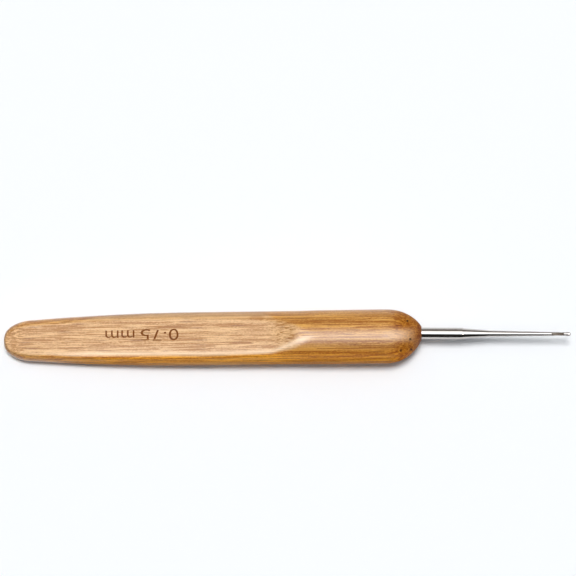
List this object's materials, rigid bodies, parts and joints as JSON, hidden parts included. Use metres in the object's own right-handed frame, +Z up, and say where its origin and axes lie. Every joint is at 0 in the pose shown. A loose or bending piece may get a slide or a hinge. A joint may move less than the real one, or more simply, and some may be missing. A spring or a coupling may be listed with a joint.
{
  "type": "crochet hook",
  "caption": "Fine crochet hook: slim steel needle with a hooked, rounded head and tapered shank, glued into a turned bamboo handle with sanded finger flats.",
  "frame": {"origin": "middle of the hook's outline on the table, with z = 0 at the table that the grip and the tail touch", "axes": "+X along the hook towards its head, +Z up out of the thumb flat and the throat, +Y to the left seen from the tail"},
  "size_m": [0.1298, 0.0124, 0.0132],
  "materials": {
    "bamboo": "satin varnished bamboo with fine long fibres",
    "adhesive": "cured clear adhesive",
    "steel": "polished nickel-plated steel, ground throat"
  },
  "bodies": {
    "root": {"bamboo_handle": "bamboo", "adhesive": "adhesive", "steel_needle": "steel"}
  },
  "joints": []
}
